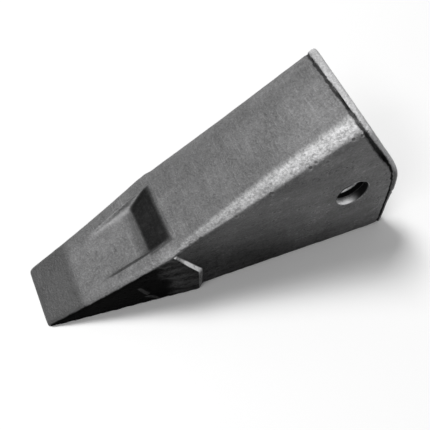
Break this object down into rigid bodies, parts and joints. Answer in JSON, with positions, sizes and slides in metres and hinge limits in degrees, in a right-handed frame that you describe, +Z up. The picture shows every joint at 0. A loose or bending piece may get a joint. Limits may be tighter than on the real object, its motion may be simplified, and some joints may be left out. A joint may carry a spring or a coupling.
{
  "type": "ripper shank tooth",
  "caption": "Cast steel ripper tooth: wedge body with a raked socket mouth, cross pin hole, and a tapered cutting blade with a wear pocket.",
  "frame": {"origin": "on the flat underside and on the middle plane, straight below the pin bore", "axes": "+X towards the socket mouth (the cutting edge lies at -X), +Y along the pin bore, +Z up from the underside"},
  "size_m": [0.281, 0.0844, 0.1502],
  "materials": {
    "cast_steel": "dark semi-gloss casting skin"
  },
  "bodies": {
    "root": {"ripper_tooth": "cast_steel"}
  },
  "joints": []
}
